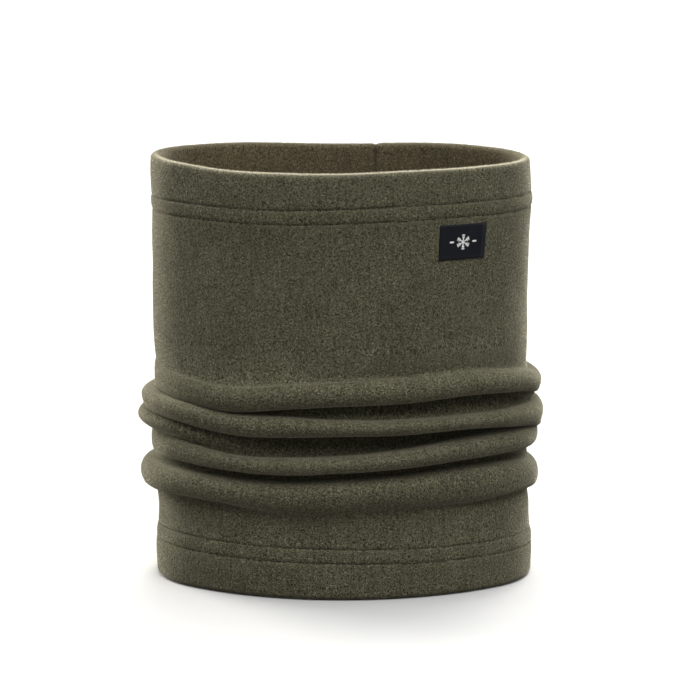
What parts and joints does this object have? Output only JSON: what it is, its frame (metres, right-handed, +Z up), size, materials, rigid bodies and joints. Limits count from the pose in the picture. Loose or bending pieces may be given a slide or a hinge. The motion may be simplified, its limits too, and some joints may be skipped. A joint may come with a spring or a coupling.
{
  "type": "neck gaiter",
  "caption": "Fleece neck gaiter, a soft tube standing on its lower hem with its slack gathered in folds; its upper half slides up as the folds open.",
  "frame": {"origin": "centre of the lower edge, on the surface that the gaiter stands on", "axes": "+Z up along the tube; -Y is the front, which carries the woven label; +X is to the right of a person looking at the front"},
  "size_m": [0.2022, 0.1362, 0.21],
  "materials": {
    "fleece": "brushed microfleece, dark olive heather, matt with a pale fuzzy edge",
    "sewing_thread": "dark olive polyester sewing thread, slightly shiny",
    "label_satin": "black woven satin label",
    "label_pale_yarn": "pale woven yarn",
    "label_thread": "black polyester sewing thread",
    "care_label_satin": "white printed-satin tape, left blank"
  },
  "bodies": {
    "lower_half": {"lower_tube": "fleece", "bottom_hem": "fleece", "bottom_hem_first_needle_thread": "sewing_thread", "bottom_hem_second_needle_thread": "sewing_thread", "bottom_hem_looper_thread": "sewing_thread", "gathered_folds": "fleece", "lower_seam_needle_thread": "sewing_thread", "lower_seam_looper_threads": "sewing_thread", "folds_seam_needle_thread": "sewing_thread", "folds_seam_looper_threads": "sewing_thread"},
    "upper_half": {"upper_tube": "fleece", "top_hem": "fleece", "top_hem_first_needle_thread": "sewing_thread", "top_hem_second_needle_thread": "sewing_thread", "top_hem_looper_thread": "sewing_thread", "upper_seam_needle_thread": "sewing_thread", "upper_seam_looper_threads": "sewing_thread", "woven_label": "label_satin", "label_mark": "label_pale_yarn", "label_left_stitching": "label_thread", "label_right_stitching": "label_thread", "care_label": "care_label_satin"}
  },
  "joints": [
    {"name": "slack_slide", "type": "slide", "parent": "lower_half", "child": "upper_half", "axis": [0, 0, 1], "range_m": [-0.012, 0.04], "deforming": ["gathered_folds", "folds_seam_needle_thread", "folds_seam_looper_threads"]}
  ]
}
